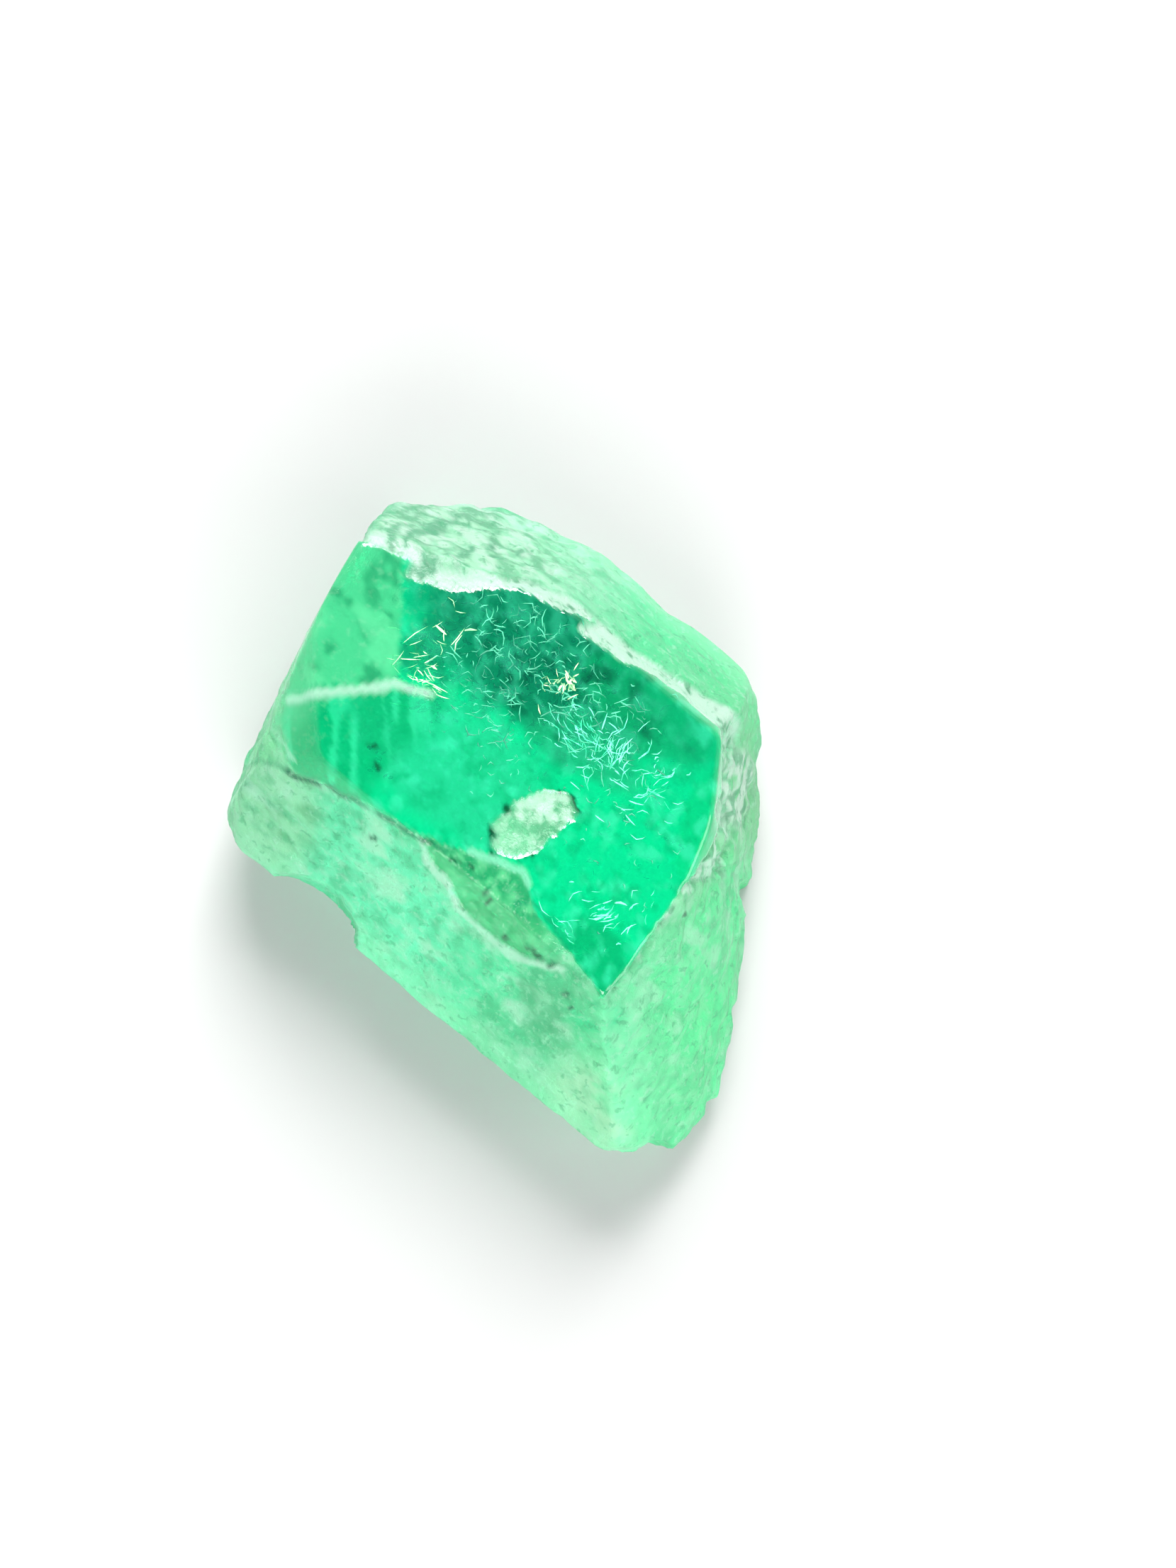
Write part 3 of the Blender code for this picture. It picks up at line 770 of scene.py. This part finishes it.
def emerald_material():
    """Clear green beryl where the upper face is clean, milky and rough where it is frosted or broken."""
    material = bpy.data.materials.new("emerald")
    material.use_nodes = True
    tree = material.node_tree
    tree.nodes.clear()
    output = node_of(tree, "ShaderNodeOutputMaterial", (900, 0))
    shader = node_of(tree, "ShaderNodeBsdfPrincipled", (500, 0))
    place = node_of(tree, "ShaderNodeTexCoord").outputs["Object"]
    frost = node_of(tree, "ShaderNodeAttribute", attribute_name="frost").outputs["Fac"]
    coat = node_of(tree, "ShaderNodeAttribute", attribute_name="coat").outputs["Color"]
    grain = noise_of(tree, place, GRAIN_SIZE, 4, 0.65)
    flecks = noise_of(tree, place, FLECK_SIZE, 3, 0.6, 0.5)
    snow = share_of(tree, frost, spread(tree, grain, 0.52, 0.70, 0, MOST_SNOW))
    tint = blend_of(tree, snow, coat, FROST_SNOW)
    dots = share_of(tree, frost, spread(tree, flecks, 0.56, 0.70, 0, MOST_DOTS))
    tint = blend_of(tree, dots, tint, FROST_DOTS)
    tree.links.new(tint, shader.inputs["Base Color"])
    rough = spread(tree, frost, 0.0, 1.0, *ROUGHNESS_RANGE)
    tree.links.new(rough, shader.inputs["Roughness"])
    shader.inputs["Transmission Weight"].default_value = CLEARNESS
    shader.inputs["IOR"].default_value = BERYL_IOR
    bump = node_of(tree, "ShaderNodeBump")
    bump.inputs["Distance"].default_value = BUMP_HEIGHT
    tree.links.new(spread(tree, frost, 0.0, 1.0, *BUMP_RANGE), bump.inputs["Strength"])
    tree.links.new(grain, bump.inputs["Height"])
    tree.links.new(bump.outputs["Normal"], shader.inputs["Normal"])
    depth = node_of(tree, "ShaderNodeVolumeAbsorption", (500, -500))
    depth.inputs["Color"].default_value = DEPTH_GREEN
    depth.inputs["Density"].default_value = DEPTH_DENSITY
    tree.links.new(shader.outputs["BSDF"], output.inputs["Surface"])
    tree.links.new(depth.outputs["Volume"], output.inputs["Volume"])
    return material


surface_points, surface_frost, surface_coat = crystal_surface()
crystal = new_piece("crystal_body", to_frame(surface_points), ring_faces())
keep_frost(crystal, surface_frost)
keep_coat(crystal, surface_coat)
crystal.data.materials.append(emerald_material())
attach(crystal, "root")
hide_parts("emerald_crystal")

# The golden needles
# A tangle of fine pale yellow needles at the left of the clear face, grown before the beryl closed round
# them. They lie in the skin of the face, the long ones placed one by one and the short ones about them.
NEEDLE_STATIONS = np.array((0.12, 0.45, 0.80))
NEEDLE_WIDTHS = np.array((0.75, 1.0, 0.6))
NEEDLE_CORNERS = 4
RING_POINTS = NEEDLE_CORNERS * len(NEEDLE_STATIONS)
SCREEN_TURN = 40.0
FLATNESS = 0.5
IN_SKIN = (5.373, 5.383)
EDGE_GAP = 0.14
INCLUSION_ROUGHNESS = 0.55
INCLUSION_IOR = 1.6


def needle_mesh(starts, ends, thickness, bow):
    """Four-sided needles that taper to a point at both ends, in mm.

    A needle's middle line is start + t (end - start) + bow sin(pi t) sideways, with a ring of four
    points at each of three stations t.
    """
    along = ends - starts
    ahead = along / np.linalg.norm(along, axis=1, keepdims=True)
    side = np.cross(ahead, (0, 0, 1.0)) + 1e-6
    side /= np.linalg.norm(side, axis=1, keepdims=True)
    over = np.cross(side, ahead)
    sway = (bow[:, None] * np.sin(np.pi * NEEDLE_STATIONS))[:, :, None] * side[:, None]
    middle = starts[:, None] + NEEDLE_STATIONS[None, :, None] * along[:, None] + sway
    angles = np.arange(NEEDLE_CORNERS) * 2 * np.pi / NEEDLE_CORNERS
    flat = FLATNESS * np.sin(angles)
    spokes = np.cos(angles)[None, :, None] * side[:, None] + flat[None, :, None] * over[:, None]
    radii = thickness[:, None] * NEEDLE_WIDTHS / 2
    rings = middle[:, :, None] + radii[:, :, None, None] * spokes[:, None]
    count = len(starts)
    points = np.concatenate((rings.reshape(count, RING_POINTS, 3), starts[:, None], ends[:, None]), axis=1)
    corner = np.arange(NEEDLE_CORNERS)
    after = (corner + 1) % NEEDLE_CORNERS
    last = RING_POINTS - NEEDLE_CORNERS
    start_tip = np.full(NEEDLE_CORNERS, RING_POINTS)
    sides = []
    for ring in range(0, last, NEEDLE_CORNERS):
        following = ring + NEEDLE_CORNERS
        sides.append(np.stack((ring + corner, following + corner, following + after), axis=-1))
        sides.append(np.stack((ring + corner, following + after, ring + after), axis=-1))
    sides.append(np.stack((start_tip, corner, after), axis=-1))
    sides.append(np.stack((start_tip + 1, last + after, last + corner), axis=-1))
    faces = np.concatenate(sides)[None] + (RING_POINTS + 2) * np.arange(count)[:, None, None]
    return points.reshape(-1, 3), faces.reshape(-1, 3).tolist()


def scattered(rng, centre, spread_xy, heights, count, lengths, widths, lean, fan):
    """Needles scattered about a place: starts, ends and widths, leaning one way within a fan of degrees."""
    middle_x = rng.normal(centre[0], spread_xy[0], count)
    middle_y = rng.normal(centre[1], spread_xy[1], count)
    middles = np.stack((middle_x, middle_y, rng.uniform(heights[0], heights[1], count)), axis=-1)
    heading = np.radians(rng.uniform(lean - fan, lean + fan, count) + SCREEN_TURN)
    rise = rng.uniform(-0.01, 0.01, count)
    half = np.stack((np.cos(heading), np.sin(heading), rise), axis=-1)
    half *= rng.uniform(lengths[0], lengths[1], count)[:, None] / 2
    thickness = rng.uniform(widths[0], widths[1], count)
    chip_depth = depth_inside(middles[:, :2], CHIP_OUTLINE)
    within = (np.min(gaps_to_outline(middles[:, :2]), axis=0) > EDGE_GAP) & (chip_depth < -EDGE_GAP)
    return (middles - half)[within], (middles + half)[within], thickness[within]


def inclusion_material(name, pale, shade, size_mm):
    """A dull mineral inside the beryl, in two shades that change along its needles."""
    material = bpy.data.materials.new(name)
    material.use_nodes = True
    tree = material.node_tree
    shader = tree.nodes["Principled BSDF"]
    place = node_of(tree, "ShaderNodeTexCoord").outputs["Object"]
    shades = noise_of(tree, place, size_mm, 3, 0.6)
    tint = blend_of(tree, spread(tree, shades, 0.4, 0.62), pale, shade)
    tree.links.new(tint, shader.inputs["Base Color"])
    shader.inputs["Roughness"].default_value = INCLUSION_ROUGHNESS
    shader.inputs["IOR"].default_value = INCLUSION_IOR
    return material


def new_inclusion(name, groups, rng, material, sway=0.10):
    """One piece of every group's needles, bowed by about that share of their length, in the crystal."""
    starts, ends, widths = (np.concatenate(parts) for parts in zip(*groups))
    length = np.linalg.norm(ends - starts, axis=1)
    points, faces = needle_mesh(starts, ends, widths, rng.normal(0, sway, len(starts)) * length)
    piece = new_piece(name, to_frame(points), faces)
    piece.data.materials.append(material)
    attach(piece, "root")


# The long needles, each as its start and end seen from above and its width, with the heights of both ends
LONG_START_HEIGHT = 5.376
LONG_END_HEIGHT = 5.378
LONG_NEEDLES = np.array((
    (-3.24, 0.00, -3.03, 0.72, 0.055), (-3.06, 0.20, -2.61, 0.09, 0.035), (-2.99, -0.38, -2.72, 0.17, 0.035),
    (-2.77, 0.51, -2.57, 0.22, 0.045), (-3.02, 0.70, -2.69, 0.69, 0.080), (-3.20, 1.22, -2.90, 1.11, 0.050),
    (-2.92, 1.12, -2.68, 1.26, 0.050), (-2.51, 0.93, -2.33, 0.46, 0.045), (-2.55, 0.94, -2.33, 1.13, 0.070),
    (-2.66, -0.27, -1.95, -0.09, 0.050), (-2.60, 0.08, -2.44, 0.10, 0.070), (-3.20, 0.30, -2.95, 0.55, 0.030),
))
needle_rng = np.random.default_rng(301)
long_count = (len(LONG_NEEDLES), 1)
long_starts = np.concatenate((LONG_NEEDLES[:, 0:2], np.full(long_count, LONG_START_HEIGHT)), axis=1)
long_ends = np.concatenate((LONG_NEEDLES[:, 2:4], np.full(long_count, LONG_END_HEIGHT)), axis=1)
golden_groups = [
    (long_starts, long_ends, LONG_NEEDLES[:, 4]),
    scattered(needle_rng, (-2.78, 0.18), (0.20, 0.34), IN_SKIN, 64, (0.10, 0.46), (0.016, 0.034), 20, 70),
    scattered(needle_rng, (-2.45, -0.20), (0.22, 0.10), IN_SKIN, 40, (0.08, 0.36), (0.016, 0.036), -25, 40),
]
new_inclusion("golden_needles", golden_groups, needle_rng,
              inclusion_material("golden_rutile", (0.56, 0.86, 0.46), (0.20, 0.58, 0.24), 0.3))

# The yellow tuft
# A smaller knot of short stout needles of a yellow mineral, enclosed as the beryl grew. It lies in the
# skin of the clear face, between its middle and the ledge.
tuft_rng = np.random.default_rng(311)
tuft_groups = [
    scattered(tuft_rng, (-0.55, 1.45), (0.13, 0.16), IN_SKIN, 26, (0.10, 0.26), (0.025, 0.050), 70, 60),
    scattered(tuft_rng, (-0.75, 1.15), (0.12, 0.16), IN_SKIN, 14, (0.10, 0.24), (0.020, 0.036), 50, 80),
]
new_inclusion("yellow_tuft", tuft_groups, tuft_rng,
              inclusion_material("yellow_mineral", (0.70, 0.88, 0.48), (0.16, 0.42, 0.18), 0.15))

# The blue-white spray
# A broad spray of thin flat flakes with a blue-white shimmer, enclosed as the beryl grew. It lies in the
# skin of the clear face, beyond the tuft, and feathers out to either side.
spray_rng = np.random.default_rng(321)
spray_groups = [
    scattered(spray_rng, (0.98, 1.10), (0.24, 0.26), IN_SKIN, 30, (0.16, 0.60), (0.014, 0.034), 52, 22),
    scattered(spray_rng, (0.55, 0.85), (0.36, 0.26), IN_SKIN, 70, (0.08, 0.42), (0.012, 0.030), -38, 60),
    scattered(spray_rng, (0.20, 1.02), (0.24, 0.22), IN_SKIN, 34, (0.08, 0.42), (0.012, 0.028), -50, 35),
    scattered(spray_rng, (1.55, 0.75), (0.44, 0.32), IN_SKIN, 44, (0.08, 0.42), (0.012, 0.030), 5, 60),
    scattered(spray_rng, (1.70, 1.40), (0.28, 0.20), IN_SKIN, 14, (0.06, 0.28), (0.016, 0.030), 40, 30),
]
new_inclusion("blue_white_spray", spray_groups, spray_rng,
              inclusion_material("blue_white_flakes", (0.20, 0.78, 0.56), (0.01, 0.52, 0.26), 0.22), 0.20)

# The white plume
# Wisps of a white mineral at the lower corner of the clear face, and short streaks that run up to them.
# They are enclosed in the beryl too, in the skin of the face.
plume_rng = np.random.default_rng(331)
plume_groups = [
    scattered(plume_rng, (2.62, -1.32), (0.28, 0.16), IN_SKIN, 30, (0.08, 0.44), (0.016, 0.045), 12, 30),
    scattered(plume_rng, (2.35, -2.02), (0.36, 0.06), IN_SKIN, 16, (0.12, 0.42), (0.014, 0.030), -42, 10),
    scattered(plume_rng, (3.15, -0.90), (0.18, 0.30), IN_SKIN, 12, (0.08, 0.22), (0.014, 0.028), 60, 30),
]
new_inclusion("white_plume", plume_groups, plume_rng,
              inclusion_material("white_wisps", (0.20, 0.80, 0.54), (0.01, 0.52, 0.26), 0.25), 0.20)

# The curls and specks
# The mossy garden of grown-in mineral that fills the dark part of the clear face, with a few strays in
# the bright part. Pale curls lie in the skin of the face, and dark specks lie below it.
moss_rng = np.random.default_rng(341)
curl_groups = [
    scattered(moss_rng, (-1.55, 1.35), (0.85, 0.55), IN_SKIN, 260, (0.08, 0.40), (0.014, 0.034), 0, 90),
    scattered(moss_rng, (-0.10, 1.50), (0.85, 0.45), IN_SKIN, 130, (0.08, 0.34), (0.014, 0.032), -30, 60),
    scattered(moss_rng, (-1.70, 0.15), (0.65, 0.25), IN_SKIN, 100, (0.06, 0.34), (0.014, 0.032), -15, 40),
    scattered(moss_rng, (0.60, -0.10), (1.60, 0.95), IN_SKIN, 110, (0.05, 0.18), (0.014, 0.034), 10, 90),
]
new_inclusion("pale_curls", curl_groups, moss_rng,
              inclusion_material("pale_moss", (0.05, 0.46, 0.26), (0.008, 0.22, 0.12), 0.25), 0.28)
speck_groups = [
    scattered(moss_rng, (-1.30, 1.35), (0.95, 0.60), (4.70, 5.20), 210, (0.05, 0.20), (0.040, 0.085), 0, 90),
    scattered(moss_rng, (0.30, 0.95), (1.00, 0.50), (4.80, 5.20), 70, (0.05, 0.16), (0.030, 0.060), 0, 90),
    scattered(moss_rng, (-2.75, 0.20), (0.25, 0.35), (4.90, 5.10), 40, (0.06, 0.20), (0.040, 0.080), 30, 90),
    scattered(moss_rng, (-2.20, -0.45), (0.35, 0.12), (4.95, 5.15), 30, (0.06, 0.22), (0.040, 0.070), -10, 30),
    scattered(moss_rng, (-2.20, -1.85), (0.16, 0.10), (5.05, 5.20), 12, (0.06, 0.14), (0.040, 0.070), 20, 60),
    scattered(moss_rng, (2.20, -0.60), (0.80, 0.80), (4.90, 5.20), 24, (0.05, 0.12), (0.025, 0.045), 0, 90),
]
new_inclusion("dark_specks", speck_groups, moss_rng,
              inclusion_material("dark_moss", (0.006, 0.20, 0.11), (0.02, 0.36, 0.20), 0.3))

# The table and the studio
# A plain pale table for the crystal to lie on, a soft room that is bright low down and dim overhead, and
# three broad soft lights. The table's sizes are in metres, and its gap keeps it just under the crystal.
FLOOR_HALF = 0.30
FLOOR_GAP = 0.00003
FLOOR_GREY = (0.38, 0.38, 0.375, 1)
SKY_FADE = (0.55, 0.95)
SKY_STRENGTHS = (0.85, 0.05)
SKY_COLOUR = (0.94, 0.97, 1.0, 1)
floor_mesh = bpy.data.meshes.new("table")
floor_corners = ((-1, -1), (1, -1), (1, 1), (-1, 1))
floor_points = [(x * FLOOR_HALF, y * FLOOR_HALF, -FLOOR_GAP) for x, y in floor_corners]
floor_mesh.from_pydata(floor_points, [], [(0, 1, 2, 3)])
floor = bpy.data.objects.new("table", floor_mesh)
bpy.context.scene.collection.objects.link(floor)
floor_material = bpy.data.materials.new("pale_table")
floor_material.use_nodes = True
floor_shader = floor_material.node_tree.nodes["Principled BSDF"]
floor_shader.inputs["Base Color"].default_value = FLOOR_GREY
floor_shader.inputs["Roughness"].default_value = 0.6
floor.data.materials.append(floor_material)

world = bpy.data.worlds.new("studio")
world.use_nodes = True
sky = world.node_tree
sky_place = node_of(sky, "ShaderNodeTexCoord").outputs["Generated"]
sky_parts = node_of(sky, "ShaderNodeSeparateXYZ")
sky.links.new(sky_place, sky_parts.inputs[0])
sky_strength = spread(sky, sky_parts.outputs["Z"], *SKY_FADE, *SKY_STRENGTHS)
sky.links.new(sky_strength, sky.nodes["Background"].inputs["Strength"])
sky.nodes["Background"].inputs["Color"].default_value = SKY_COLOUR
bpy.context.scene.world = world


def soft_light(name, place, size, power):
    """A square light of that size and power in watts at a place in metres, facing the frame's origin."""
    data = bpy.data.lights.new(name, "AREA")
    data.size = size
    data.energy = power
    light = bpy.data.objects.new(name, data)
    bpy.context.scene.collection.objects.link(light)
    x, y, z = place
    light.location = place
    light.rotation_euler = (math.atan2(math.hypot(x, y), z), 0, math.atan2(y, x) + math.pi / 2)


soft_light("key", (-0.10, 0.12, 0.16), size=0.12, power=1.10)
soft_light("fill", (0.10, -0.13, 0.13), size=0.14, power=0.58)
soft_light("side", (0.17, 0.05, 0.09), size=0.12, power=0.18)

# The camera
# It looks down on the crystal, leaning towards the left flank and turned as much as the photograph is.
# PIXELS_PER_MM is how many of its pixels a millimetre spans at the aim, and sets what the lens takes in.
LEAN = math.radians(8.6)
PRISM_TURN = math.radians(40.0)
AIM = to_frame(np.array((0.945, 0.627, 3.0)))
STAND_OFF = 0.120
PIXELS_PER_MM = 76.8
PHOTO_HEIGHT = 2212
SENSOR_MM = 36.0
CLIP_START = 0.001
CLIP_END = 10
toward = np.array((0, -math.sin(LEAN), math.cos(LEAN)))
across = np.array((0, math.cos(LEAN), math.sin(LEAN)))
right = math.cos(PRISM_TURN) * np.array((1.0, 0, 0)) + math.sin(PRISM_TURN) * across
upward = -math.sin(PRISM_TURN) * np.array((1.0, 0, 0)) + math.cos(PRISM_TURN) * across
camera_data = bpy.data.cameras.new("camera")
camera_data.sensor_width = SENSOR_MM
camera_data.lens = SENSOR_MM * STAND_OFF / (PHOTO_HEIGHT / PIXELS_PER_MM * MM)
camera_data.clip_start = CLIP_START
camera_data.clip_end = CLIP_END
camera = bpy.data.objects.new("camera", camera_data)
bpy.context.scene.collection.objects.link(camera)
pose = np.eye(4)
pose[:3, 0] = right
pose[:3, 1] = upward
pose[:3, 2] = toward
pose[:3, 3] = AIM + toward * STAND_OFF
camera.matrix_world = Matrix(pose.tolist())
bpy.context.scene.camera = camera
bpy.context.scene.view_settings.view_transform = "Standard"
